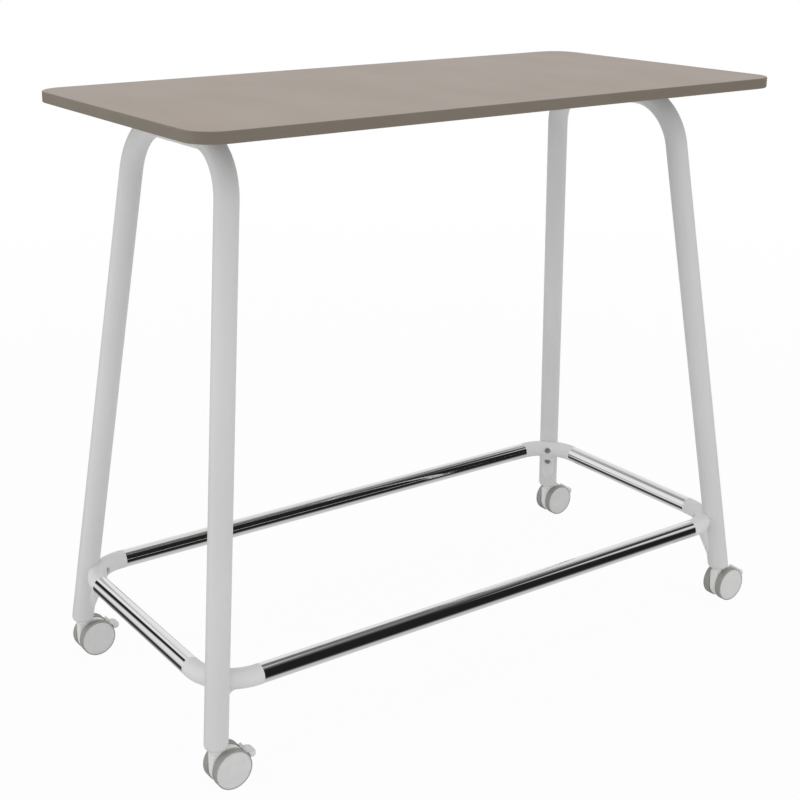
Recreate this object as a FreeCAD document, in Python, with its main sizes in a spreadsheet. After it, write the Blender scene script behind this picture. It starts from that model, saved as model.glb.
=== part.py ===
import FreeCAD, Part

import math
import os
import re

import Sketcher

# Standing-height meeting table on four braked twin-wheel casters.
# Frame: origin on the floor under the middle of the top, +X along the top's long side,
# +Y to the rear, +Z up. Lengths are in millimetres, angles in degrees.
# The table is symmetrical about its two upright middle planes, so what stands at a corner
# is drawn once, at the right rear one (+X, +Y), and mirrored. The casters are not mirrored:
# all four are drawn trailing towards +X.

SIZES = {
    # worktop: a core board, a laminate on each face and a glued edge band
    "top_length": 1200,
    "top_width": 600,
    "top_height": 1065,
    "corner_radius": 51,
    "edge_rounding": 1.5,
    "core_thickness": 17,
    "laminate_thickness": 0.8,
    "band_thickness": 2,
    # leg frames: each one tube bent to an upturned U that leans outwards both ways
    "end_overhang": 125.15,
    "side_overhang": 143.2,
    "splay_along": 6.4,
    "splay_across": 6.2,
    "leg_diameter": 40,
    "leg_wall": 2,
    "bend_radius": 98,
    # foot caps in the lower ends of the tubes
    "foot_height": 69.5,
    "cap_height": 12.5,
    "cap_rounding": 10,
    "sleeve_length": 30,
    "sleeve_clearance": 0.1,
    # plates between the crossbars and the worktop, with the saddle that holds the tube
    "plate_length": 120,
    "plate_width": 120,
    "plate_thickness": 6,
    "plate_rounding": 8,
    "saddle_width": 32,
    "saddle_depth": 8,
    # screws and threaded inserts that hold the plates
    "screw_pitch": 92,
    "screw_diameter": 6,
    "screw_head_diameter": 12,
    "screw_head_height": 3.4,
    "screw_length": 16,
    "screw_socket_width": 4,
    "screw_socket_depth": 2,
    "insert_diameter": 9,
    "insert_length": 12,
    "hole_clearance": 0.3,
    # footrest rails
    "ring_height": 174.5,
    "ring_offset_along": 7,
    "ring_offset_across": 5.9,
    "rail_diameter": 33.7,
    "rail_wall": 1.5,
    # corner connectors: an elbow between two rails and a tail down the inside of the leg
    "connector_arm": 82.3,
    "elbow_radius": 77,
    "elbow_blend": 16,
    "spigot_length": 30,
    "spigot_clearance": 0.1,
    "seat_clearance": 0.05,
    "tail_diameter": 28,
    "tail_lead": 25,
    "tail_foot_lead": 6,
    "tail_top_drop": 5.5,
    "tail_foot_drop": 73,
    # the two screws of each connector and their rivet nuts
    "clamp_diameter": 8,
    "clamp_head_diameter": 13,
    "clamp_head_height": 5,
    "clamp_upper_seat": 31,
    "clamp_lower_seat": 26.5,
    "clamp_length": 18,
    "clamp_socket_width": 6,
    "clamp_socket_depth": 3,
    "clamp_recess_diameter": 14,
    "clamp_upper_rise": 6,
    "clamp_lower_rise": -25.5,
    "nut_diameter": 11,
    "nut_collar_diameter": 13.4,
    "nut_collar_height": 1.5,
    "nut_reach": 13,
    # casters
    "wheel_diameter": 67.2,
    "caster_width": 44.6,
    "wheel_width": 13.8,
    "caster_trail": 19.8,
    "side_clearance": 0.3,
    "running_clearance": 0.05,
    "rim_diameter": 57,
    "rim_thickness": 2.5,
    "tyre_lip": 1.6,
    "tyre_rounding": 1.4,
    "disc_thickness": 2.8,
    "disc_rounding": 1,
    "hub_diameter": 18,
    "axle_diameter": 8,
    "axle_cover": 3,
    "hood_diameter": 64,
    "hood_rounding": 4,
    "neck_diameter": 20.4,
    "neck_base_height": 65,
    "neck_gap": 0.3,
    "stem_diameter": 11,
    "stem_insertion": 29,
    "stem_hold": 20,
    "stem_chamfer": 1,
    # brake levers, pivoting in the hoods
    "lever_pivot_out": 17,
    "lever_pivot_up": 10,
    "lever_hub_diameter": 12,
    "lever_pin_diameter": 5,
    "lever_core_width": 10,
    "lever_hood_clearance": 1.8,
    "bow_thickness": 2,
    "ridge_reach": 38.4,
    "ridge_angle": 39,
    "ridge_thickness": 5,
    "pedal_reach": 48,
    "pedal_root": 36,
    "pedal_top": 15,
    "pedal_thickness": 8.5,
    "pedal_width": 29,
    "pedal_rounding": 9,
    "pedal_edge_rounding": 2.5,
}

DERIVED = {
    "top_thickness": "core_thickness + 2 * laminate_thickness",
    "top_underside": "top_height - top_thickness",
    "core_bottom": "top_underside + laminate_thickness",
    "plate_bottom": "top_underside - plate_thickness",
    "leg_radius": "leg_diameter / 2",
    "tube_bore": "leg_radius - leg_wall",
    "crossbar_height": "plate_bottom - leg_radius",
    "crossbar_x": "top_length / 2 - end_overhang",
    "crossbar_reach": "top_width / 2 - side_overhang",
    "bend_length": "bend_radius * tan(45 - splay_across / 2)",
    # the legs' centre lines: how far they move out for each millimetre down
    "lean_along": "tan(splay_along)",
    "lean_across": "tan(splay_across) / cos(splay_along)",
    "lean": "sqrt(lean_along * lean_along + lean_across * lean_across)",
    "leg_tilt": "atan(lean) / 1 deg",
    "ring_drop": "crossbar_height - ring_height",
    "ring_x": "crossbar_x + lean_along * ring_drop + ring_offset_along",
    "ring_y": "crossbar_reach + lean_across * ring_drop + ring_offset_across",
    "rail_radius": "rail_diameter / 2",
    "rail_bore": "rail_radius - rail_wall",
    "tail_radius": "tail_diameter / 2",
    "tail_length": "tail_foot_drop - tail_top_drop",
    "tail_tilt": "atan(lean + (tail_lead - tail_foot_lead) / tail_length) / 1 deg",
    "foot_cut": "foot_height + cap_height",
    "stem_x": "crossbar_x + lean_along * (crossbar_height - foot_cut)",
    "stem_y": "crossbar_reach + lean_across * (crossbar_height - foot_cut)",
    "stem_radius": "stem_diameter / 2",
    "stem_top": "foot_height + stem_insertion",
    "neck_top": "foot_height - neck_gap",
    "neck_radius": "neck_diameter / 2",
    "stem_bottom": "neck_top - stem_hold",
    "wheel_radius": "wheel_diameter / 2",
    "wheel_inner_face": "caster_width / 2 - wheel_width",
    "disc_radius": "wheel_radius - tyre_lip",
    "rim_radius": "rim_diameter / 2",
    "hub_radius": "hub_diameter / 2",
    "axle_radius": "axle_diameter / 2",
    "axle_half": "caster_width / 2 - axle_cover",
    "hood_radius": "hood_diameter / 2",
    "hood_width": "2 * (wheel_inner_face - side_clearance)",
    "bow_radius": "hood_radius + lever_hood_clearance",
    "pedal_bottom": "pedal_top - pedal_thickness",
}

CORNERS = {
    "front_left": (-1, -1),
    "front_right": (1, -1),
    "rear_left": (-1, 1),
    "rear_right": (1, 1),
}

# The two screws of a connector: how high they sit on the ring, and how far out their seats are.
CLAMPS = (("clamp_upper_rise", "clamp_upper_seat"), ("clamp_lower_rise", "clamp_lower_seat"))

UP = FreeCAD.Vector(0, 0, 1)
START, END, CENTRE = range(1, 4)

doc = FreeCAD.newDocument("StandingMeetingTable")
sheet = doc.addObject("Spreadsheet::Sheet", "Sizes")
nodes = []


# ---------------------------------------------------------------- sizes and expressions


def fill_sheet():
    """Write the driving sizes as plain numbers and the worked-out ones as formulas."""
    contents = [(name, str(number)) for name, number in SIZES.items()]
    contents += [(name, f"={text}") for name, text in DERIVED.items()]
    for row, (name, content) in enumerate(contents, start=1):
        sheet.set(f"A{row}", name)
        sheet.set(f"B{row}", content)
        sheet.setAlias(f"B{row}", name)
    doc.recompute()


def formula(text):
    """An expression on size names, such as 'top_length / 2', as FreeCAD writes it."""
    known = SIZES.keys() | DERIVED.keys()

    def sheet_name(word):
        return f"Sizes.{word[0]}" if word[0] in known else word[0]

    return re.sub(r"[a-z_]+", sheet_name, str(text))


def value(text):
    """The number that an expression on size names comes to."""
    return float(sheet.evalExpression(formula(text)))


def bind(item, **properties):
    """Hold properties of an object to expressions on the sizes."""
    for name, text in properties.items():
        item.setExpression(name, formula(text))
    return item


def place(item, x=0, y=0, z=0, axis=(0, 0, 1), angle=0):
    """Hold an object's position, and a turn about an axis, to expressions on the sizes."""
    position = f"vector({x}; {y}; {z})"
    rotation = f"rotation(vector({axis[0]}; {axis[1]}; {axis[2]}); {angle})"
    return bind(item, Placement=f"placement({position}; {rotation})")


def keep(item, label):
    """Name an object and list it as a piece of the table."""
    item.Label = label
    nodes.append(item)
    return item


# ---------------------------------------------------------------- sketches


def origin_feature(body, role):
    return next(item for item in body.Origin.OriginFeatures if item.Role == role)


def new_sketch(body, plane):
    sketch = body.newObject("Sketcher::SketchObject", "Sketch")
    sketch.AttachmentSupport = [(origin_feature(body, plane), "")]
    sketch.MapMode = "FlatFace"
    return sketch


def fix_point(sketch, geometry, point, x=None, y=None):
    """Hold a point of the sketch to expressions for its coordinates."""
    for kind, text in (("DistanceX", x), ("DistanceY", y)):
        if text is not None:
            constraint = Sketcher.Constraint(kind, -1, START, geometry, point, value(text))
            index = sketch.addConstraint(constraint)
            sketch.setExpression(f"Constraints[{index}]", formula(text))


def join(sketch, first, first_point, second, second_point):
    sketch.addConstraint(
        Sketcher.Constraint("Coincident", first, first_point, second, second_point)
    )


def add_circle(sketch, radius, x="0", y="0"):
    centre = FreeCAD.Vector(value(x), value(y), 0)
    circle = sketch.addGeometry(Part.Circle(centre, UP, value(radius)), False)
    fix_point(sketch, circle, CENTRE, x, y)
    index = sketch.addConstraint(Sketcher.Constraint("Radius", circle, value(radius)))
    sketch.setExpression(f"Constraints[{index}]", formula(radius))


def add_polygon(sketch, corners):
    """A closed outline through corners given as pairs of expressions."""
    points = [FreeCAD.Vector(value(x), value(y), 0) for x, y in corners]
    lines = [Part.LineSegment(points[i - 1], points[i]) for i in range(len(points))]
    sides = [sketch.addGeometry(line, False) for line in lines]
    for i, (x, y) in enumerate(corners):
        join(sketch, sides[i - 1], END, sides[i], START)
        fix_point(sketch, sides[i], END, x, y)


def add_bent_path(sketch, start, bend_start, centre, bend_end_y, end):
    """An open line, right-hand arc and line, for a tube's centre line."""
    first, tangent, middle, last = (
        FreeCAD.Vector(value(x), value(y), 0) for x, y in (start, bend_start, centre, end)
    )
    radius = middle.distanceToPoint(tangent)
    rise = value(bend_end_y) - middle.y
    across = math.sqrt(radius**2 - rise**2)
    bend_end = middle + FreeCAD.Vector(across, rise, 0)
    arc_of_bend = Part.ArcOfCircle(
        Part.Circle(middle, UP, radius), math.atan2(rise, across), math.pi / 2
    )
    line_in = sketch.addGeometry(Part.LineSegment(first, tangent), False)
    arc = sketch.addGeometry(arc_of_bend, False)
    line_out = sketch.addGeometry(Part.LineSegment(bend_end, last), False)
    join(sketch, line_in, END, arc, END)
    join(sketch, arc, START, line_out, START)
    fix_point(sketch, line_in, START, *start)
    fix_point(sketch, line_in, END, *bend_start)
    fix_point(sketch, arc, CENTRE, *centre)
    fix_point(sketch, line_out, START, y=bend_end_y)
    fix_point(sketch, line_out, END, *end)


def add_hood(sketch, centre, radius, top):
    """A circle whose left side carries on straight up to a flat top."""
    middle = FreeCAD.Vector(value(centre[0]), value(centre[1]), 0)
    reach = value(radius)
    rise = value(top) - middle.y
    across = -math.sqrt(reach**2 - rise**2)
    left = middle - FreeCAD.Vector(reach, 0, 0)
    corner = left + FreeCAD.Vector(0, rise, 0)
    shoulder = middle + FreeCAD.Vector(across, rise, 0)
    arc_of_hood = Part.ArcOfCircle(
        Part.Circle(middle, UP, reach), -math.pi, math.atan2(rise, across)
    )
    arc = sketch.addGeometry(arc_of_hood, False)
    front = sketch.addGeometry(Part.LineSegment(left, corner), False)
    flat = sketch.addGeometry(Part.LineSegment(corner, shoulder), False)
    join(sketch, arc, START, front, START)
    join(sketch, front, END, flat, START)
    join(sketch, flat, END, arc, END)
    left_edge = f"{centre[0]} - {radius}"
    fix_point(sketch, arc, CENTRE, *centre)
    fix_point(sketch, front, START, left_edge, centre[1])
    fix_point(sketch, front, END, left_edge, top)
    fix_point(sketch, flat, END, y=top)


# ---------------------------------------------------------------- features of a body


def new_body(name, **placing):
    return place(doc.addObject("PartDesign::Body", name), **placing)


def extrude(kind, body, sketch, length, middle=True, backwards=False):
    """Pad or pocket a sketch, to both sides of its plane unless told otherwise."""
    feature = body.newObject(f"PartDesign::{kind}", kind)
    feature.Profile = sketch
    feature.Midplane = middle
    feature.Reversed = backwards
    bind(feature, Length=length)


def extrude_polygon(kind, body, plane, corners, length, **how):
    sketch = new_sketch(body, plane)
    add_polygon(sketch, corners)
    extrude(kind, body, sketch, length, **how)


def extrude_circle(kind, body, plane, centre, radius, length, **how):
    sketch = new_sketch(body, plane)
    add_circle(sketch, radius, *centre)
    extrude(kind, body, sketch, length, **how)


def revolve(kind, body, plane, axis, corners):
    """Turn an outline about one of the body's own axes, to add or to cut."""
    sketch = new_sketch(body, plane)
    add_polygon(sketch, corners)
    feature = body.newObject(f"PartDesign::{kind}", kind)
    feature.Profile = sketch
    feature.ReferenceAxis = (origin_feature(body, axis), [""])
    feature.Angle = 360


def swept(name, plane, path, section_plane, radii, **placing):
    """A tube or rod that follows a bent path."""
    body = new_body(name, **placing)
    spine = new_sketch(body, plane)
    add_bent_path(spine, *path)
    section = new_sketch(body, section_plane)
    for radius in radii:
        add_circle(section, radius)
    doc.recompute()
    feature = body.newObject("PartDesign::AdditivePipe", "Pipe")
    feature.Profile = section
    feature.Spine = (spine, ["Edge1", "Edge2", "Edge3"])
    return body


def edge_numbers(shape, chosen):
    numbers = [i for i, edge in enumerate(shape.Edges, start=1) if chosen(edge)]
    if not numbers:
        raise ValueError("no edge matches")
    return numbers


def round_edges(body, radius, chosen):
    """Round the edges of a body's last feature that a test picks out."""
    doc.recompute()
    base = body.Tip
    feature = body.newObject("PartDesign::Fillet", "Fillet")
    feature.Base = (base, [f"Edge{i}" for i in edge_numbers(base.Shape, chosen)])
    bind(feature, Radius=radius)


def round_solid(base, radius, chosen):
    """The same for a solid that isn't a body."""
    doc.recompute()
    feature = doc.addObject("Part::Fillet", "Fillet")
    feature.Base = base
    amount = value(radius)
    feature.Edges = [(i, amount, amount) for i in edge_numbers(base.Shape, chosen)]
    return feature


def is_upright(edge):
    box = edge.BoundBox
    return box.ZLength > 0.01 and max(box.XLength, box.YLength) < 0.01


def lies_at(edge, axis, place_on_axis):
    """Whether an edge lies wholly in a plane square to an axis."""
    box = edge.BoundBox
    low, high = getattr(box, f"{axis}Min"), getattr(box, f"{axis}Max")
    return abs(low - place_on_axis) < 0.01 and abs(high - place_on_axis) < 0.01


# ---------------------------------------------------------------- solids and booleans


def cylinder(radius, length, **placing):
    item = doc.addObject("Part::Cylinder", "Cylinder")
    return place(bind(item, Radius=radius, Height=length), **placing)


def block(length, width, height, **placing):
    item = doc.addObject("Part::Box", "Block")
    return place(bind(item, Length=length, Width=width, Height=height), **placing)


def fuse(items):
    if len(items) == 1:
        return items[0]
    feature = doc.addObject("Part::MultiFuse", "Fusion")
    feature.Shapes = items
    return feature


def cut(base, tools):
    feature = doc.addObject("Part::Cut", "Cut")
    feature.Base = base
    feature.Tool = fuse(tools)
    return feature


def common(items):
    feature = doc.addObject("Part::MultiCommon", "Common")
    feature.Shapes = items
    return feature


def keep_group(items, label):
    """Keep several like solids as one piece."""
    feature = doc.addObject("Part::Compound", "Group")
    feature.Links = items
    keep(feature, label)


def mirrored(source, normal):
    feature = doc.addObject("Part::Mirroring", "Mirror")
    feature.Source = source
    feature.Normal = FreeCAD.Vector(*normal)
    return feature


def at_both_sides(items):
    """Objects of the rear half together with their mirror images in the front half."""
    return items + [mirrored(item, (0, 1, 0)) for item in items]


def at_all_corners(items):
    """Objects of the right rear corner together with their images at the other three."""
    right = at_both_sides(items)
    return right + [mirrored(item, (1, 0, 0)) for item in right]


def keep_at_all_corners(item, name):
    """Keep a right rear piece and its images at the other three corners."""
    keep(item, f"rear_right_{name}")
    keep(mirrored(item, (1, 0, 0)), f"rear_left_{name}")
    front = keep(mirrored(item, (0, 1, 0)), f"front_right_{name}")
    keep(mirrored(front, (1, 0, 0)), f"front_left_{name}")


def socket_screw(name, shank, head, head_height, length, socket_width, socket_depth, **placing):
    """A cap screw with its head's outer face at the origin and its shank along +Z."""
    body = new_body(name, **placing)
    outline = [
        ("0", "0"),
        (f"{head} / 2 - {head_height} / 5", "0"),
        (f"{head} / 2", f"{head_height} / 5"),
        (f"{head} / 2", head_height),
        (f"{shank} / 2", head_height),
        (f"{shank} / 2", f"{head_height} + {length}"),
        ("0", f"{head_height} + {length}"),
    ]
    revolve("Revolution", body, "XZ_Plane", "Z_Axis", outline)
    corner = f"{socket_width} / sqrt(3)"
    hexagon = [(f"{corner} * cos({60 * i})", f"{corner} * sin({60 * i})") for i in range(6)]
    extrude_polygon("Pocket", body, "XY_Plane", hexagon, f"2 * {socket_depth}")
    return body


# ---------------------------------------------------------------- places along the right rear leg


def on_leg(height, inwards="0"):
    """A place at a height, a level distance inwards from the leg's centre line."""
    run = f"(crossbar_height - ({height}) - ({inwards}) / lean)"
    x = f"crossbar_x + lean_along * {run}"
    y = f"crossbar_reach + lean_across * {run}"
    return {"x": x, "y": y, "z": height}


def leaning(angle):
    """A turn that tips an upright object inwards, in the leg's own upright plane."""
    return {"axis": ("lean_across", "-lean_along", "0"), "angle": angle}


def leg_cylinder(radius, bottom, length):
    return cylinder(radius, length, **on_leg(bottom), **leaning("leg_tilt"))


def on_clamp_axis(rise, distance):
    """A place on a connector screw's axis, which is square to the leg."""
    height = f"(ring_height + {rise} - ({distance}) * sin(leg_tilt))"
    return on_leg(height, f"({distance}) / cos(leg_tilt)")


def clamp_cylinder(radius, rise, near, far):
    """A cylinder on a connector screw's axis between two distances from the leg's centre line."""
    turn = leaning("leg_tilt + 90")
    return cylinder(radius, f"({far}) - ({near})", **on_clamp_axis(rise, near), **turn)


# ---------------------------------------------------------------- worktop


def rectangle(half_x, half_y):
    return [
        (f"-({half_x})", f"-({half_y})"),
        (half_x, f"-({half_y})"),
        (half_x, half_y),
        (f"-({half_x})", half_y),
    ]


def worktop_board(name, inset, bottom, thickness):
    """A board of the worktop's outline, drawn in by an inset."""
    body = new_body(name, z=bottom)
    outline = rectangle(f"top_length / 2 - {inset}", f"top_width / 2 - {inset}")
    extrude_polygon("Pad", body, "XY_Plane", outline, thickness, middle=False)
    round_edges(body, f"corner_radius - {inset}", is_upright)
    return body


def plate_screw_places(height):
    """Places of the right rear corner's two worktop screws."""
    y = "screw_pitch / 2"
    return [{"x": f"crossbar_x + {side} * {y}", "y": y, "z": height} for side in (-1, 1)]


def insert_holes(bottom, depth):
    radius = "insert_diameter / 2"
    return at_all_corners([cylinder(radius, depth, **at) for at in plate_screw_places(bottom)])


def make_worktop():
    core = worktop_board("CoreBoard", "band_thickness", "core_bottom", "core_thickness")
    keep(cut(core, insert_holes("core_bottom", "insert_length")), "tabletop_core")

    top_face = "core_bottom + core_thickness"
    laminate = worktop_board("Laminate", "band_thickness", top_face, "laminate_thickness")
    keep(laminate, "tabletop_laminate")

    backing = worktop_board("Backing", "band_thickness", "top_underside", "laminate_thickness")
    holes = insert_holes("top_underside", "laminate_thickness")
    keep(cut(backing, holes), "tabletop_backing_laminate")

    outside = worktop_board("BandOutside", "0", "top_underside", "top_thickness")
    faces = (0, value("top_thickness"))
    round_edges(outside, "edge_rounding", lambda edge: any(lies_at(edge, "Z", z) for z in faces))
    inside = worktop_board("BandInside", "band_thickness", "top_underside", "top_thickness")
    keep(cut(outside, [inside]), "tabletop_edge_band")


# ---------------------------------------------------------------- leg frames


def make_leg_frames():
    path = (
        ("0", "0"),
        ("crossbar_reach - bend_length", "0"),
        ("crossbar_reach - bend_length", "-bend_radius"),
        "-bend_length * cos(splay_across)",
        ("crossbar_reach + crossbar_height * tan(splay_across)", "-crossbar_height"),
    )
    placing = {"x": "crossbar_x", "z": "crossbar_height", "axis": (0, 1, 0), "angle": "-splay_along"}
    radii = ("leg_radius", "tube_bore")
    tube = swept("BentTube", "YZ_Plane", path, "XZ_Plane", radii, **placing)
    both_legs = tube.newObject("PartDesign::Mirrored", "BothLegs")
    both_legs.Originals = [tube.Tip]
    both_legs.MirrorPlane = (origin_feature(tube, "XZ_Plane"), [""])
    tube.Tip = both_legs

    below = block("top_length", "2 * top_width", "2 * foot_cut", y="-top_width", z="-foot_cut")
    nut_holes = [
        clamp_cylinder("nut_diameter / 2", rise, "0", "2 * leg_radius")
        for rise, _ in CLAMPS
    ]
    frame = keep(cut(tube, [below] + at_both_sides(nut_holes)), "right_leg_frame")
    keep(mirrored(frame, (1, 0, 0)), "left_leg_frame")


def make_foot_caps():
    long_rim = leg_cylinder("leg_radius", "foot_height - cap_height", "4 * cap_height")
    slab = block("top_length", "top_width", "cap_height", z="foot_height")
    bottom = value("foot_height")
    rim = common([long_rim, slab])
    rounded = round_solid(rim, "cap_rounding", lambda edge: lies_at(edge, "Z", bottom))
    sleeve_bottom = "foot_height + cap_height / 2"
    sleeve = leg_cylinder("tube_bore - sleeve_clearance", sleeve_bottom, "sleeve_length")
    radius = "stem_radius + running_clearance"
    bore = cylinder(radius, "stem_insertion + 1", x="stem_x", y="stem_y", z="foot_height")
    keep_at_all_corners(cut(fuse([rounded, sleeve]), [bore]), "foot_cap")


def make_mounting_plates():
    body = new_body("Plate", x="crossbar_x", z="plate_bottom")
    outline = rectangle("plate_length / 2", "plate_width / 2")
    extrude_polygon("Pad", body, "XY_Plane", outline, "plate_thickness", middle=False)
    round_edges(body, "plate_rounding", is_upright)
    saddle = block(
        "saddle_width",
        "plate_width",
        "saddle_depth",
        x="crossbar_x - saddle_width / 2",
        y="-plate_width / 2",
        z="plate_bottom - saddle_depth",
    )
    axis_end = {"x": "crossbar_x", "y": "plate_width", "z": "crossbar_height"}
    crossbar = cylinder("leg_radius", "2 * plate_width", **axis_end, axis=(1, 0, 0), angle=90)
    hole = "screw_diameter / 2 + hole_clearance"
    holes = [cylinder(hole, "plate_thickness", **at) for at in plate_screw_places("plate_bottom")]
    tools = [crossbar] + at_both_sides(holes)
    plate = keep(cut(fuse([body, saddle]), tools), "right_mounting_plate")
    keep(mirrored(plate, (1, 0, 0)), "left_mounting_plate")


def make_plate_fasteners():
    screws = [
        socket_screw(
            "PlateScrew",
            "screw_diameter",
            "screw_head_diameter",
            "screw_head_height",
            "screw_length",
            "screw_socket_width",
            "screw_socket_depth",
            **at,
        )
        for at in plate_screw_places("plate_bottom - screw_head_height")
    ]
    keep_group(at_all_corners(screws), "tabletop_screws")

    inserts = []
    for at in plate_screw_places("core_bottom"):
        sleeve = cylinder("insert_diameter / 2", "insert_length", **at)
        bore = cylinder("screw_diameter / 2", "insert_length", **at)
        inserts.append(cut(sleeve, [bore]))
    keep_group(at_all_corners(inserts), "tabletop_inserts")


# ---------------------------------------------------------------- footrest


def make_rails():
    rails = (
        ("rear_footrest_rail", "front_footrest_rail", "YZ_Plane", "ring_x", {"y": "ring_y"}, (0, 1, 0)),
        ("right_footrest_rail", "left_footrest_rail", "XZ_Plane", "ring_y", {"x": "ring_x"}, (1, 0, 0)),
    )
    for label, mirror_label, plane, half_reach, place_across, normal in rails:
        body = new_body("Rail", z="ring_height", **place_across)
        section = new_sketch(body, plane)
        add_circle(section, "rail_radius")
        add_circle(section, "rail_bore")
        extrude("Pad", body, section, f"2 * ({half_reach} - connector_arm)")
        keep(body, label)
        keep(mirrored(body, normal), mirror_label)


def make_connectors():
    path = (
        ("0", "0"),
        ("connector_arm - elbow_radius", "0"),
        ("connector_arm - elbow_radius", "-elbow_radius"),
        "-elbow_radius",
        ("connector_arm", "-connector_arm"),
    )
    along_end = {"x": "ring_x - connector_arm", "y": "ring_y", "z": "ring_height"}
    across_end = {"x": "ring_x", "y": "ring_y - connector_arm", "z": "ring_height"}
    elbow = swept("Elbow", "XY_Plane", path, "YZ_Plane", ("rail_radius",), **along_end)
    foot = on_leg("ring_height - tail_foot_drop", "tail_foot_lead")
    tail = cylinder(
        "tail_radius", "tail_length / cos(tail_tilt)", **foot, **leaning("tail_tilt")
    )
    knuckle = doc.addObject("Part::Sphere", "Knuckle")
    place(bind(knuckle, Radius="tail_radius"), **on_leg("ring_height - tail_top_drop", "tail_lead"))
    blended = round_solid(
        fuse([elbow, tail, knuckle]),
        "elbow_blend",
        lambda edge: edge.Curve.TypeId == "Part::GeomBSplineCurve",
    )

    spigot = "rail_bore - spigot_clearance"
    spigots = [
        cylinder(spigot, "spigot_length", **along_end, axis=(0, 1, 0), angle=-90),
        cylinder(spigot, "spigot_length", **across_end, axis=(1, 0, 0), angle=90),
    ]
    tools = [leg_cylinder("leg_radius + seat_clearance", "foot_height", "3 * tail_foot_drop")]
    collar_top = "leg_radius + nut_collar_height + hole_clearance"
    hole = "clamp_diameter / 2 + hole_clearance"
    collar = "nut_collar_diameter / 2 + hole_clearance"
    recess = "clamp_recess_diameter / 2"
    for rise, seat in CLAMPS:
        tools += [
            clamp_cylinder(collar, rise, "0", collar_top),
            clamp_cylinder(hole, rise, "0", seat),
            clamp_cylinder(recess, rise, seat, "3 * leg_radius"),
        ]
    keep_at_all_corners(cut(fuse([blended] + spigots), tools), "corner_connector")


def make_connector_fasteners():
    screws = []
    nuts = []
    for rise, seat in CLAMPS:
        screws.append(
            socket_screw(
                "ClampScrew",
                "clamp_diameter",
                "clamp_head_diameter",
                "clamp_head_height",
                "clamp_length",
                "clamp_socket_width",
                "clamp_socket_depth",
                **on_clamp_axis(rise, f"{seat} + clamp_head_height"),
                **leaning("leg_tilt - 90"),
            )
        )
        inner, outer = "leg_radius - nut_reach", "leg_radius + nut_collar_height"
        flange = clamp_cylinder("nut_collar_diameter / 2", rise, "tube_bore", outer)
        tube = leg_cylinder("leg_radius", "foot_height", "3 * tail_foot_drop")
        barrel = clamp_cylinder("nut_diameter / 2", rise, inner, outer)
        thread = clamp_cylinder("clamp_diameter / 2", rise, inner, outer)
        nuts.append(cut(fuse([cut(flange, [tube]), barrel]), [thread]))
    keep_group(at_all_corners(screws), "connector_screws")
    keep_group(at_all_corners(nuts), "leg_rivet_nuts")


# ---------------------------------------------------------------- casters


def make_caster_body(corner, swivel):
    body = new_body("CasterBody", **swivel)
    axle = ("caster_trail", "wheel_radius")
    pivot = ("caster_trail + lever_pivot_out", "wheel_radius + lever_pivot_up")
    outline = new_sketch(body, "XZ_Plane")
    add_hood(outline, axle, "hood_radius", "neck_base_height")
    extrude("Pad", body, outline, "hood_width")
    side = value("hood_width / 2")
    round_edges(
        body, "hood_rounding", lambda edge: lies_at(edge, "Y", side) or lies_at(edge, "Y", -side)
    )
    neck = [
        ("0", "neck_base_height"),
        ("neck_radius", "neck_base_height"),
        ("neck_radius", "neck_top"),
        ("0", "neck_top"),
    ]
    revolve("Revolution", body, "XZ_Plane", "Z_Axis", neck)
    stem_hole = [
        ("0", "stem_bottom"),
        ("stem_radius", "stem_bottom"),
        ("stem_radius", "neck_top"),
        ("0", "neck_top"),
    ]
    revolve("Groove", body, "XZ_Plane", "Z_Axis", stem_hole)
    extrude_circle("Pocket", body, "XZ_Plane", axle, "axle_radius", "2 * hood_width")

    slot_width = "lever_core_width + 2 * hole_clearance"
    slot_radius = "(lever_hub_diameter / 2 + hole_clearance)"
    slot = [
        (pivot[0], f"{pivot[1]} - {slot_radius}"),
        ("caster_trail + hood_diameter", f"{pivot[1]} - {slot_radius}"),
        ("caster_trail + hood_diameter", f"{pivot[1]} + {slot_radius}"),
        (pivot[0], f"{pivot[1]} + {slot_radius}"),
    ]
    extrude_circle("Pocket", body, "XZ_Plane", pivot, slot_radius, slot_width)
    extrude_polygon("Pocket", body, "XZ_Plane", slot, slot_width)
    pin_hole = "lever_pin_diameter / 2 + running_clearance"
    extrude_circle("Pocket", body, "XZ_Plane", pivot, pin_hole, "2 * hood_width")
    keep(body, f"{corner}_caster_body")


def make_stem_and_axle(corner, swivel, hub):
    stem = new_body("Stem", **swivel)
    stem_outline = [
        ("0", "stem_bottom"),
        ("stem_radius", "stem_bottom"),
        ("stem_radius", "stem_top - stem_chamfer"),
        ("stem_radius - stem_chamfer", "stem_top"),
        ("0", "stem_top"),
    ]
    revolve("Revolution", stem, "XZ_Plane", "Z_Axis", stem_outline)
    keep(stem, f"{corner}_caster_stem")

    axle = new_body("Axle", **hub)
    extrude_circle("Pad", axle, "XZ_Plane", ("0", "0"), "axle_radius", "2 * axle_half")
    keep(axle, f"{corner}_caster_axle")


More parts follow.
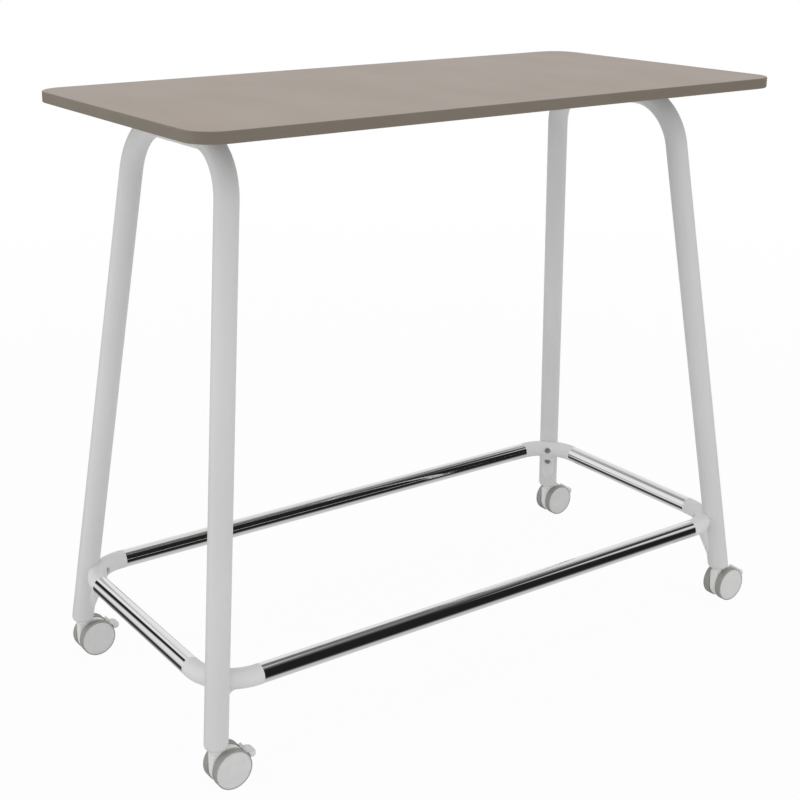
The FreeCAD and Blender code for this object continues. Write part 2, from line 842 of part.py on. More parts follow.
def make_wheel(corner, side_name, side, hub):
    """A wheel and its tyre; distances along the axle are from the wheel's inner face."""

    def at(radius, depth):
        return (radius, f"{side} * (wheel_inner_face + {depth})")

    bore = "axle_radius + running_clearance"
    rim_inside = "rim_radius - rim_thickness"
    web = "wheel_width - disc_thickness"
    wheel = new_body("Wheel", **hub)
    wheel_outline = [
        at(bore, "0"),
        at("hub_radius", "0"),
        at("hub_radius", web),
        at(rim_inside, web),
        at(rim_inside, "0"),
        at("rim_radius", "0"),
        at("rim_radius", web),
        at("disc_radius", web),
        at("disc_radius", "wheel_width"),
        at("0", "wheel_width"),
        at("0", web),
        at(bore, web),
    ]
    revolve("Revolution", wheel, "XY_Plane", "Y_Axis", wheel_outline)
    outer_face = value(f"{side} * caster_width / 2")
    round_edges(wheel, "disc_rounding", lambda edge: lies_at(edge, "Y", outer_face))
    keep(wheel, f"{corner}_{side_name}_wheel")

    tyre = new_body("Tyre", **hub)
    tyre_outline = [
        at("rim_radius", "0"),
        at("wheel_radius", "0"),
        at("wheel_radius", "wheel_width"),
        at("disc_radius", "wheel_width"),
        at("disc_radius", web),
        at("rim_radius", web),
    ]
    revolve("Revolution", tyre, "XY_Plane", "Y_Axis", tyre_outline)
    tread = value("wheel_diameter")

    def is_tread_edge(edge):
        box = edge.BoundBox
        return box.YLength < 0.01 and abs(box.XLength - tread) < 0.01

    round_edges(tyre, "tyre_rounding", is_tread_edge)
    keep(tyre, f"{corner}_{side_name}_tyre")


def make_brake_lever(corner, hub):
    """A lever drawn about the axle: a bow round the hood, a ridge to lift it and a pedal."""
    body = new_body("BrakeLever", **hub)
    pivot = ("lever_pivot_out", "lever_pivot_up")
    middle = ("0", "0")
    extrude_circle("Pad", body, "XZ_Plane", middle, "bow_radius + bow_thickness", "hood_width")
    extrude_circle("Pocket", body, "XZ_Plane", middle, "bow_radius", "2 * hood_width")
    plate_middle = "(pedal_top - pedal_thickness / 2)"
    far = "hood_diameter"
    outside_the_bow = [
        (f"{plate_middle} / tan(ridge_angle)", plate_middle),
        (f"{far} * cos(ridge_angle)", f"{far} * sin(ridge_angle)"),
        (f"-{far}", far),
        (f"-{far}", f"-{far}"),
        (far, f"-{far}"),
        (far, plate_middle),
    ]
    extrude_polygon("Pocket", body, "XZ_Plane", outside_the_bow, "2 * hood_width")
    bridge = [
        ("bow_radius", "pedal_bottom"),
        ("pedal_root + 1", "pedal_bottom"),
        ("pedal_root + 1", "pedal_top"),
        ("bow_radius - pedal_thickness / 2", "pedal_top"),
    ]
    extrude_polygon("Pad", body, "XZ_Plane", bridge, "hood_width")
    pedal = [
        ("pedal_root", "pedal_bottom"),
        ("pedal_reach", "pedal_bottom"),
        ("pedal_reach", "pedal_top"),
        ("pedal_root - pedal_thickness / 3", "pedal_top"),
    ]
    extrude_polygon("Pad", body, "XZ_Plane", pedal, "pedal_width")
    tongue = [
        ("lever_pivot_out", "lever_pivot_up"),
        ("bow_radius + 1", "lever_pivot_up"),
        ("bow_radius + 1", "pedal_top"),
        ("lever_pivot_out", "pedal_top"),
    ]
    extrude_polygon("Pad", body, "XZ_Plane", tongue, "lever_core_width")
    extrude_circle("Pad", body, "XZ_Plane", pivot, "lever_hub_diameter / 2", "lever_core_width")
    pin_length = "hood_width - 2 * side_clearance"
    extrude_circle("Pad", body, "XZ_Plane", pivot, "lever_pin_diameter / 2", pin_length)

    def by_ridge(radius, offset):
        x = f"{radius} * cos(ridge_angle) - {offset} * sin(ridge_angle)"
        return (x, f"{radius} * sin(ridge_angle) + {offset} * cos(ridge_angle)")

    half = "ridge_thickness / 2"
    ridge = [
        by_ridge("bow_radius", f"-{half}"),
        by_ridge("ridge_reach", f"-{half}"),
        by_ridge("ridge_reach", half),
        by_ridge("bow_radius", half),
    ]
    extrude_polygon("Pad", body, "XZ_Plane", ridge, "hood_width")

    tip = value("pedal_reach")
    corner_edge = value("pedal_width / 2")
    round_edges(
        body,
        "pedal_rounding",
        lambda edge: is_upright(edge)
        and lies_at(edge, "X", tip)
        and abs(abs(edge.BoundBox.YMax) - corner_edge) < 0.01,
    )
    round_edges(body, "pedal_edge_rounding", lambda edge: lies_at(edge, "X", tip) and not is_upright(edge))
    keep(body, f"{corner}_brake_lever")


def make_casters():
    for corner, (side_x, side_y) in CORNERS.items():
        swivel = {"x": f"{side_x} * stem_x", "y": f"{side_y} * stem_y"}
        hub = {**swivel, "x": f"{side_x} * stem_x + caster_trail", "z": "wheel_radius"}
        make_caster_body(corner, swivel)
        make_stem_and_axle(corner, swivel, hub)
        make_wheel(corner, "front", -1, hub)
        make_wheel(corner, "rear", 1, hub)
        make_brake_lever(corner, hub)


# ---------------------------------------------------------------- build, check and export


def check():
    """Stop if any object failed or any piece has no sound shape."""
    for item in doc.Objects:
        if any(word in ("Invalid", "Error") for word in item.State):
            raise RuntimeError(f"{item.Label} did not build")
    for node in nodes:
        if node.Shape.isNull() or not node.Shape.isValid():
            raise RuntimeError(f"{node.Label} has no sound shape")


def export():
    os.makedirs("parts", exist_ok=True)
    for node in nodes:
        node.Shape.exportStep(f"parts/{node.Label}.step")


fill_sheet()
make_worktop()
make_leg_frames()
make_foot_caps()
make_mounting_plates()
make_plate_fasteners()
make_rails()
make_connectors()
make_connector_fasteners()
make_casters()
doc.recompute()
check()
export()
print(f"{len(nodes)} pieces written")
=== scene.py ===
import math

import bmesh
import bpy
import numpy
from bpy.props import FloatProperty, FloatVectorProperty, IntProperty, PointerProperty
from bpy.types import Operator, Panel, PropertyGroup
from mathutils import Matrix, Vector


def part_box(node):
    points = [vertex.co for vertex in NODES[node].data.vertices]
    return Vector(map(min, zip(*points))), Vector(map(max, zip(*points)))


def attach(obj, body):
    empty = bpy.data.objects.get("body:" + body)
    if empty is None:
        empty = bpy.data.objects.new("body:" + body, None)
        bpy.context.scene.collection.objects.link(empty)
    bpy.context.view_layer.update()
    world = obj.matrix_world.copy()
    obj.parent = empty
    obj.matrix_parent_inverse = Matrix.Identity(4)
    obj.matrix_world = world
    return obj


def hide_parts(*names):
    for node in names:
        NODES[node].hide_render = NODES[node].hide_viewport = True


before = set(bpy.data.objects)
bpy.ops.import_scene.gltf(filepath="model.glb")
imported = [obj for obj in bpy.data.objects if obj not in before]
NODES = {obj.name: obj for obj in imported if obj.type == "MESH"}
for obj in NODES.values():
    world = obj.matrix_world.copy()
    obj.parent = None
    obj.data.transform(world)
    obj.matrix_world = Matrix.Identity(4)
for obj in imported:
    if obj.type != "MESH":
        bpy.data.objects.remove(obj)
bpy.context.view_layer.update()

bl_info = {
    "name": "Standing Meeting Table",
    "version": (1, 0, 0),
    "blender": (4, 5, 0),
    "location": "3D View > Sidebar > Meeting Table",
    "description": "Finishes a standing-height meeting table on casters, with its studio",
    "category": "Add Mesh",
}

SIDES = ("left", "right")
CORNERS = ("front_left", "front_right", "rear_left", "rear_right")
WHEEL_SIDES = ("front", "rear")
BODY = "table"

WELD_DISTANCE = 0.000005
RIM_TOLERANCE = 0.0002
CREASE = math.radians(35)
WHEEL_CREASE = math.radians(40)
SCUFF_HEIGHT = 0.3

DISC_THICKNESS = 0.0028
TREAD_THICKNESS = 0.0051
AXLE_HOLE_RADIUS = 0.00405
HUB_RADIUS = 0.009
TREAD_SHOULDER = 0.0014
GROOVE_PLACES = (-0.0036, -0.0012, 0.0012, 0.0036)
# how far aside of a groove's middle, and the share of its depth
GROOVE_SHAPE = ((-0.00035, 0), (-0.0001, 1), (0.0001, 1), (0.00035, 0))

SCREW_SIZES = (
    "Head diameter", "Head height", "Socket width", "Socket depth", "Shank diameter", "Shank length"
)
CLAMP_SCREW = dict(zip(SCREW_SIZES, (0.013, 0.005, 0.006, 0.003, 0.008, 0.018)))
PLATE_SCREW = dict(zip(SCREW_SIZES, (0.012, 0.0034, 0.004, 0.002, 0.006, 0.016)))

FLOOR_REACH = 60
LAMPS_AIM = (0, 0, 0.6)
FOCAL_LENGTH = 64.467
LENS_SHIFT = (0.05224, -0.1085)
CAMERA_REACH = 200


def middle_of(node):
    low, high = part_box(node)
    return (low + high) / 2


def size_of(node):
    low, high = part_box(node)
    return high - low


def colour_property(name, description, default):
    return FloatVectorProperty(
        name=name, description=description, default=default, subtype="COLOR", min=0, max=1
    )


def length_property(name, description, default):
    return FloatProperty(
        name=name, description=description, default=default, subtype="DISTANCE", unit="LENGTH", min=0
    )


def share_property(name, description, default):
    return FloatProperty(
        name=name, description=description, default=default, subtype="FACTOR", min=0, max=1
    )


def angle_property(name, description, default):
    return FloatProperty(
        name=name, description=description, default=default, subtype="ANGLE", unit="ROTATION"
    )


def power_property(name, description, default):
    return FloatProperty(name=name, description=description, default=default, unit="POWER")


# ---------------------------------------------------------------- settings


class WorktopSettings(PropertyGroup):
    laminate: colour_property("Laminate", "Colour of the top face", (0.395, 0.321, 0.266))
    # The edge band is the laminate's own colour made darker: painted shade for the worktop's upright
    # edges.
    band: colour_property("Edge band", "Colour of the band glued round the edge", (0.247, 0.211, 0.167))
    # The backing is a greyer laminate made darker still: its own colour plus painted shade for the
    # worktop's underside.
    backing: colour_property("Backing", "Colour of the underside", (0.285, 0.272, 0.255))
    core: colour_property("Core board", "Colour of the particle board", (0.42, 0.30, 0.18))
    grain: length_property("Grain", "Size of the laminate's pressed texture", 0.0007)
    sheen: share_property("Roughness", "Roughness of the laminate", 0.46)


class FrameSettings(PropertyGroup):
    paint: colour_property("Paint", "Colour of the powder coat", (0.79, 0.79, 0.79))
    cap: colour_property("Foot caps", "Colour of the plastic caps", (0.79, 0.79, 0.788))
    casting: colour_property("Connectors", "Colour of the corner connectors", (0.86, 0.86, 0.86))
    steel: colour_property("Zinc", "Colour of the plated steel", (0.56, 0.56, 0.57))
    flake: colour_property("Screw coat", "Colour of the grey-coated screws", (0.42, 0.425, 0.43))
    tube: length_property("Tube diameter", "Diameter of the leg tube", 0.040)
    bend: length_property("Bend radius", "Radius of the bends on the centre line", 0.098)
    lean_out: angle_property("Lean along", "Lean of the legs along the table", math.radians(6.4))
    lean_across: angle_property("Lean across", "Lean of the legs across the table", math.radians(6.2))
    corner_reach: length_property("Bend corner", "Where the crossbar's and legs' lines meet", 0.1568)
    peel: length_property("Orange peel", "Size of the powder coat's ripples", 0.0014)


class FootrestSettings(PropertyGroup):
    chrome: colour_property("Chrome", "Colour of the plating", (0.867, 0.867, 0.865))
    polish: share_property("Roughness", "Roughness of clean chrome", 0.025)
    scuffs: share_property("Scuffs", "How much the upper side is scuffed by shoes", 0.35)


class CasterSettings(PropertyGroup):
    housing: colour_property("Housing", "Colour of the moulded housing", (0.91, 0.91, 0.895))
    disc: colour_property("Discs", "Colour of the wheels' outer discs", (0.82, 0.82, 0.816))
    tyre: colour_property("Tyres", "Colour of the soft treads", (0.40, 0.405, 0.38))
    lever: colour_property("Levers", "Colour of the brake levers", (0.87, 0.873, 0.865))
    turns: IntProperty(
        name="Turns", description="Flat faces round a wheel", default=120, min=24, max=256
    )
    groove: length_property("Groove", "Depth of the fine lines round the tread", 0.00025)
    rim: length_property("Rim", "Thickness of the wheels' rims", 0.0025)
    crown: length_property("Crown", "How far the discs swell in the middle", 0.0003)


class StudioSettings(PropertyGroup):
    floor: colour_property("Floor", "Colour of the floor", (0.80, 0.80, 0.80))
    overhead: power_property("Overhead lamp", "Power of the wide lamp above", 8)
    side: power_property("Side lamp", "Power of the wide lamp at the left", 42)
    front: power_property("Front lamp", "Power of the wide lamp before the table", 42)
    fill: share_property("Fill", "Strength of the even light from all round", 0.85)
    camera_place: FloatVectorProperty(
        name="Camera", description="Where the camera stands", default=(-1.52415, -2.05245, 1.37195),
        subtype="TRANSLATION", unit="LENGTH",
    )
    camera_turn: angle_property("Camera turn", "Turn from straight ahead to the right", 0.5970)
    camera_dip: angle_property("Camera dip", "How far the camera looks down", 0.2791)


# ---------------------------------------------------------------- node trees


class Wire:
    """A node's output, used like a number in an expression."""

    def __init__(self, graph, socket):
        self.graph = graph
        self.socket = socket

    def maths(self, operation, *numbers):
        return self.graph.maths(operation, *numbers)

    def __add__(self, other):
        return self.maths("ADD", self, other)

    __radd__ = __add__

    def __sub__(self, other):
        return self.maths("SUBTRACT", self, other)

    def __rsub__(self, other):
        return self.maths("SUBTRACT", other, self)

    def __mul__(self, other):
        return self.maths("MULTIPLY", self, other)

    __rmul__ = __mul__

    def __truediv__(self, other):
        return self.maths("DIVIDE", self, other)

    def __abs__(self):
        return self.maths("ABSOLUTE", self)

    def __gt__(self, other):
        return self.maths("GREATER_THAN", self, other)


class Step:
    """A node that has been added, whose outputs are read by name."""

    def __init__(self, graph, node):
        self.graph = graph
        self.node = node

    def __getitem__(self, name):
        return Wire(self.graph, find_socket(self.node.outputs, name))


def find_socket(sockets, name):
    """A socket in use, by its name or its place."""
    in_use = [socket for socket in sockets if socket.enabled]
    if isinstance(name, int):
        return in_use[name]
    found = [socket for socket in in_use if socket.name == name]
    if not found:
        raise KeyError(f"no socket {name!r} among {[socket.name for socket in in_use]}")
    return found[0]


class Graph:
    """Adds nodes to a tree and joins them up."""

    def __init__(self, tree):
        self.tree = tree

    def node(self, kind, settings=None, inputs=None):
        """A node of a type: its settings first, then values or links for its sockets."""
        made = self.tree.nodes.new(kind)
        for name, setting in (settings or {}).items():
            if name == "stops":
                self.set_stops(made.color_ramp, setting)
            else:
                setattr(made, name, setting)
        for name, value in (inputs or {}).items():
            socket = find_socket(made.inputs, name)
            if isinstance(value, Wire):
                self.tree.links.new(value.socket, socket)
            else:
                socket.default_value = value
        return Step(self, made)

    @staticmethod
    def set_stops(ramp, stops):
        while len(ramp.elements) < len(stops):
            ramp.elements.new(1)
        for element, (position, level) in zip(ramp.elements, stops):
            element.position = position
            element.color = (level, level, level, 1)

    def maths(self, operation, *numbers):
        inputs = dict(enumerate(numbers))
        return self.node("ShaderNodeMath", {"operation": operation}, inputs)["Value"]

    def between(self, value, low, high, to_low=0, to_high=1):
        """A value eased from low and high to a new range."""
        inputs = {
            "Value": value, "From Min": low, "From Max": high, "To Min": to_low, "To Max": to_high
        }
        return self.node("ShaderNodeMapRange", {"interpolation_type": "SMOOTHSTEP"}, inputs)[0]

    def either(self, factor, first, second):
        """The first shader where the factor is 0, the second where it is 1."""
        return self.node("ShaderNodeMixShader", inputs={0: factor, 1: first, 2: second})["Shader"]


class Finish(Graph):
    """The nodes of one material, on the object's own coordinates."""

    def __init__(self, name):
        self.material = bpy.data.materials.new(name)
        self.material.use_nodes = True
        super().__init__(self.material.node_tree)
        self.tree.nodes.clear()
        self.place = self.node("ShaderNodeTexCoord")["Object"]

    def stretched(self, x, y, z, turn=(0, 0, 0)):
        """The coordinates turned, then stretched so that a pattern runs along an axis."""
        inputs = {"Vector": self.place, "Rotation": turn, "Scale": (x, y, z)}
        return self.node("ShaderNodeMapping", {"vector_type": "POINT"}, inputs)["Vector"]

    def height(self):
        """The height above the floor."""
        return self.node("ShaderNodeSeparateXYZ", inputs={"Vector": self.place})["Z"]

    def facing_up(self):
        """1 where the surface faces up, 0 where it faces sideways or down."""
        normal = self.node("ShaderNodeNewGeometry")["Normal"]
        up = self.node("ShaderNodeSeparateXYZ", inputs={"Vector": normal})["Z"]
        return self.between(up, 0.25, 0.9)

    def noise(self, size, detail=3, place=None, roughness=0.5):
        """Noise with features of a size in metres, about 0.5 on average."""
        inputs = {
            "Vector": place or self.place,
            "Scale": 1 / size,
            "Detail": detail,
            "Roughness": roughness,
        }
        return self.node("ShaderNodeTexNoise", {"noise_dimensions": "3D"}, inputs)[0]

    def cells(self, size):
        """Cells of a size in metres, each with a random colour."""
        inputs = {"Vector": self.place, "Scale": 1 / size}
        return self.node("ShaderNodeTexVoronoi", {"feature": "F1"}, inputs)["Color"]

    def mix(self, factor, first, second):
        """One colour turning into another as the factor goes from 0 to 1."""
        inputs = {"Factor": factor, "A": solid(first), "B": solid(second)}
        return self.node("ShaderNodeMix", {"data_type": "RGBA"}, inputs)["Result"]

    def shaded(self, colour, level, spread):
        """A colour made darker where the level is 0 and lighter where it is 1."""
        return self.mix(level, scaled(colour, 1 - spread), scaled(colour, 1 + spread))

    def scratches(self, place, amount=0.5):
        """Sparse hairlines, where the coordinates are stretched along them."""
        lines = self.noise(0.001, 2, place)
        patches = self.noise(0.06, 2)
        threshold = 0.74 - 0.1 * amount
        return self.between(lines, threshold, threshold + 0.05) * self.between(patches, 0.45, 0.65)

    def scuffs(self, size, threshold=0.66):
        """Sparse soft-edged rubbed marks."""
        shape = self.noise(size, 4, roughness=0.62)
        patches = self.noise(8 * size, 2)
        return self.between(shape, threshold, threshold + 0.07) * self.between(patches, 0.48, 0.62)

    def surface(self, colour, roughness, height, depth, strength, metal=0.0):
        """Close the material with a bumped shader, and return it."""
        inputs = {"Height": height, "Distance": depth, "Strength": strength}
        normal = self.node("ShaderNodeBump", inputs=inputs)["Normal"]
        inputs = {
            "Base Color": colour, "Metallic": metal, "Roughness": roughness, "Normal": normal
        }
        shader = self.node("ShaderNodeBsdfPrincipled", inputs=inputs)["BSDF"]
        self.node("ShaderNodeOutputMaterial", inputs={"Surface": shader})
        return self.material


def solid(colour):
    """A colour with its alpha, or a wire as it is."""
    return colour if isinstance(colour, Wire) else (*colour[:3], 1)


def scaled(colour, factor):
    return tuple(min(1, part * factor) for part in colour[:3])


# ---------------------------------------------------------------- finishes


def laminate_finish(name, colour, grain, roughness):
    """Pressed laminate: a fine satin pebble, pale flecks, faint clouds and a few hairlines."""
    made = Finish(name)
    clouds = made.noise(0.35, 3)
    flecks = made.noise(0.0022, 2)
    pebble = made.noise(grain, 3)
    wiped = made.noise(0.09, 3, made.stretched(1, 0.35, 1, (0, 0, 0.4)))
    lines = made.scratches(made.stretched(0.02, 1, 1, (0, 0, 0.5)))
    toned = made.shaded(colour, made.between(clouds, 0.3, 0.7), 0.018)
    flecked = made.mix(made.between(flecks, 0.52, 0.72) * 0.35, toned, scaled(colour, 1.1))
    dulled = made.mix(lines * 0.18, flecked, scaled(colour, 1.5))
    rough = roughness + made.between(wiped, 0.3, 0.7, -0.02, 0.02) + (pebble - 0.5) * 0.12
    height = pebble - lines * 0.3
    return made.surface(dulled, rough, height, 0.00003, 0.6)


def band_finish(name, colour, low, high):
    """An extruded plastic band: fine lines along it, rubbed paler on its two arrises."""
    made = Finish(name)
    lines = made.noise(0.0006, 2, made.stretched(0.03, 0.03, 1))
    clouds = made.noise(0.12, 3)
    knocks = made.noise(0.004, 4, roughness=0.65)
    height = made.height()
    from_middle = abs(height - (low + high) / 2)
    half = (high - low) / 2
    arris_width, arris_edge = 0.0016, 0.0002
    arris = made.between(from_middle, half - arris_width, half - arris_edge)
    worn = arris * made.between(knocks, 0.46, 0.66)
    toned = made.shaded(colour, made.between(clouds, 0.3, 0.7), 0.03)
    rubbed = made.mix(worn * 0.35, toned, scaled(colour, 1.45))
    rough = 0.44 + (lines - 0.5) * 0.18 + worn * 0.12
    return made.surface(rubbed, rough, lines - worn * 0.4, 0.00004, 0.5)


def core_finish(name, colour):
    """Particle board: pressed chips of several browns, with open pores."""
    made = Finish(name)
    chip_tone = made.node("ShaderNodeSeparateColor", inputs={"Color": made.cells(0.004)})[0]
    pores = made.between(made.noise(0.0012, 3), 0.35, 0.55)
    toned = made.shaded(colour, chip_tone, 0.3)
    pitted = made.mix(pores, scaled(colour, 0.45), toned)
    rough = 0.82 + (pores - 0.5) * 0.1
    return made.surface(pitted, rough, pores + chip_tone * 0.4, 0.0003, 0.7)


def powder_coat(name, colour, peel, scuff_height=0.0, gloss=0.40):
    """Powder coat: orange peel and a fine grit, with shoe scuffs below a height."""
    made = Finish(name)
    ripples = made.noise(peel, 2)
    grit = made.noise(peel / 5, 2)
    clouds = made.noise(0.25, 3)
    rubbed = made.noise(0.05, 3, made.stretched(1, 1, 0.4))
    if scuff_height:
        near_floor = made.between(made.height(), scuff_height, scuff_height * 0.4)
        marks = made.scuffs(0.006) * near_floor
    else:
        marks = made.scuffs(0.004, 0.7) * 0.4
    toned = made.shaded(colour, made.between(clouds, 0.3, 0.7), 0.018)
    speckled = made.mix(made.between(grit, 0.6, 0.75) * 0.12, toned, scaled(colour, 0.85))
    marked = made.mix(marks * 0.35, speckled, scaled(colour, 0.55))
    rough = gloss + made.between(rubbed, 0.3, 0.7, -0.05, 0.06)
    rough = rough + (ripples - 0.5) * 0.1 + marks * 0.2
    return made.surface(marked, rough, ripples + grit * 0.15, 0.00006, 0.5)


def moulded_plastic(name, colour, grain=0.0009, roughness=0.5, dirt=0.25):
    """Moulded nylon: a spark-eroded grain, faint flow clouds and grey dust low down."""
    made = Finish(name)
    sparks = made.noise(grain, 4, roughness=0.6)
    flow = made.noise(0.02, 3, made.stretched(1, 1, 0.5))
    marks = made.scuffs(0.0035)
    dust = made.between(made.noise(0.006, 4), 0.35, 0.7)
    dust_height = 0.06
    low_down = made.between(made.height(), dust_height, 0.0) * dust
    toned = made.shaded(colour, made.between(flow, 0.3, 0.7), 0.022)
    dusty = made.mix(low_down * dirt, toned, scaled(colour, 0.72))
    marked = made.mix(marks * 0.3, dusty, scaled(colour, 0.62))
    rough = roughness + (sparks - 0.5) * 0.2 + low_down * 0.08 + marks * 0.1
    return made.surface(marked, rough, sparks, 0.00005, 0.55)


def wheel_disc(name, colour):
    """The wheels' discs: moulded nylon with faint rings about the axle and rubbed rims."""
    made = Finish(name)
    out = made.node("ShaderNodeAttribute", {"attribute_name": "from_axle"})["Fac"]
    sparks = made.noise(0.0008, 4, roughness=0.6)
    flow = made.noise(0.018, 3)
    rings = made.maths("SINE", out * 2600 + made.noise(0.01, 2) * 4)
    rim_start, rim_end = 0.0270, 0.0315
    rim = made.between(out, rim_start, rim_end) * made.between(made.noise(0.004, 4), 0.42, 0.66)
    marks = made.scuffs(0.003)
    toned = made.shaded(colour, made.between(flow, 0.3, 0.7), 0.022)
    dusty = made.mix(rim * 0.35, toned, scaled(colour, 0.74))
    marked = made.mix(marks * 0.25, dusty, scaled(colour, 0.66))
    rough = 0.46 + (sparks - 0.5) * 0.2 + rings * 0.02 + rim * 0.1
    return made.surface(marked, rough, sparks + rings * 0.12, 0.00005, 0.5)


def tread(name, colour):
    """Soft grey treads: matt, dusted, and darker where they have rolled."""
    made = Finish(name)
    across = made.node("ShaderNodeAttribute", {"attribute_name": "from_middle"})["Fac"]
    fine = made.noise(0.0006, 3)
    dust = made.between(made.noise(0.005, 4, roughness=0.62), 0.42, 0.68)
    edge, middle = 0.0062, 0.0035
    rolled = made.between(abs(across), edge, middle)
    toned = made.shaded(colour, fine, 0.05)
    darker = made.mix(rolled * 0.35, toned, scaled(colour, 0.82))
    dusted = made.mix(dust * 0.3, darker, scaled(colour, 1.22))
    nicks = made.scuffs(0.0015, 0.68)
    rough = 0.74 + dust * 0.12 - rolled * 0.08
    return made.surface(dusted, rough, fine - nicks * 0.8, 0.00008, 0.6)


def chrome(name, colour, polish, scuffing, along_x):
    """Bright chrome: wiping marks, pin-holes and, on the upper side, scuffs from shoes."""
    made = Finish(name)
    wiped = made.noise(0.035, 3, roughness=0.6)
    stepped_on = made.facing_up() * made.scuffs(0.007, 0.6)
    pits = made.between(made.noise(0.0009, 2), 0.73, 0.8)
    stretch = (0.03, 1, 1) if along_x else (1, 0.03, 1)
    lines = made.scratches(made.stretched(*stretch), 0.3)
    film = made.between(wiped, 0.4, 0.75)
    worn = made.mix(stepped_on * scuffing, colour, scaled(colour, 0.86))
    pitted = made.mix(pits * 0.4, worn, scaled(colour, 0.5))
    rough = polish + film * 0.03 + stepped_on * scuffing * 0.22 + lines * 0.08 + pits * 0.2
    height = made.noise(0.012, 2) - lines * 0.1
    return made.surface(pitted, rough, height, 0.000004, 0.4, metal=1.0)


def plated_steel(name, colour, roughness=0.34, metal=1.0):
    """Turned and plated steel: fine tool lines, cloudy plating and darker specks."""
    made = Finish(name)
    lines = made.noise(0.0004, 2, made.stretched(0.15, 0.15, 1))
    clouds = made.noise(0.006, 4, roughness=0.6)
    specks = made.between(made.noise(0.0011, 3), 0.64, 0.74)
    toned = made.shaded(colour, made.between(clouds, 0.3, 0.7), 0.12)
    specked = made.mix(specks * 0.4, toned, scaled(colour, 0.45))
    rough = roughness + (clouds - 0.5) * 0.2 + specks * 0.15
    return made.surface(specked, rough, lines, 0.00002, 0.5, metal)


def dress(node, material):
    """Give a CAD node its finish."""
    piece = NODES[node]
    if not piece.material_slots:
        piece.data.materials.append(material)
    for slot in piece.material_slots:
        slot.material = material


# ---------------------------------------------------------------- shapes


def input_identifier(tree, name):
    items = tree.interface.items_tree
    return next(item.identifier for item in items if item.name == name and item.in_out == "INPUT")


def new_tree(name, inputs):
    """A Geometry Nodes tree with named inputs, given with their defaults."""
    tree = bpy.data.node_groups.new(name, "GeometryNodeTree")
    tree.interface.new_socket("Geometry", in_out="INPUT", socket_type="NodeSocketGeometry")
    for label, default in inputs.items():
        kind = "NodeSocketInt" if isinstance(default, int) else "NodeSocketFloat"
        socket = tree.interface.new_socket(label, in_out="INPUT", socket_type=kind)
        socket.default_value = default
    tree.interface.new_socket("Material", in_out="INPUT", socket_type="NodeSocketMaterial")
    tree.interface.new_socket("Geometry", in_out="OUTPUT", socket_type="NodeSocketGeometry")
    graph = Graph(tree)
    return graph, graph.node("NodeGroupInput")


def close_tree(graph, given, mesh):
    """End a tree: sharp edges past the crease angle, real meshes and one material."""
    angle = graph.node("GeometryNodeInputMeshEdgeAngle")["Unsigned Angle"]
    smooth = graph.node("GeometryNodeSetShadeSmooth", {"domain": "FACE"}, {"Geometry": mesh})
    sharp = graph.node(
        "GeometryNodeStoreNamedAttribute",
        {"data_type": "BOOLEAN", "domain": "EDGE"},
        {"Geometry": smooth["Geometry"], "Name": "sharp_edge", "Value": angle > CREASE},
    )
    real = graph.node("GeometryNodeRealizeInstances", inputs={"Geometry": sharp["Geometry"]})
    finished = graph.node(
        "GeometryNodeSetMaterial", inputs={"Geometry": real["Geometry"], "Material": given["Material"]}
    )
    graph.node("NodeGroupOutput", inputs={"Geometry": finished["Geometry"]})
    return graph.tree


def tube_tree():
    """A round bar along the object's own edges, with each corner bent to a radius."""
    sizes = {"Diameter": 0.04, "Bend radius": 0.1, "Bend steps": 40, "Sides": 72}
    graph, given = new_tree("Bent tube", sizes)
    line = graph.node("GeometryNodeMeshToCurve", inputs={"Mesh": given["Geometry"]})
    bent = graph.node(
        "GeometryNodeFilletCurve",
        {"mode": "POLY"},
        {"Curve": line["Curve"], "Count": given["Bend steps"], "Radius": given["Bend radius"]},
    )
    ring = graph.node(
        "GeometryNodeCurvePrimitiveCircle",
        {"mode": "RADIUS"},
        {"Resolution": given["Sides"], "Radius": given["Diameter"] / 2},
    )
    tube = graph.node(
        "GeometryNodeCurveToMesh",
        inputs={"Curve": bent["Curve"], "Profile Curve": ring["Curve"], "Fill Caps": True},
    )
    return close_tree(graph, given, tube["Mesh"])


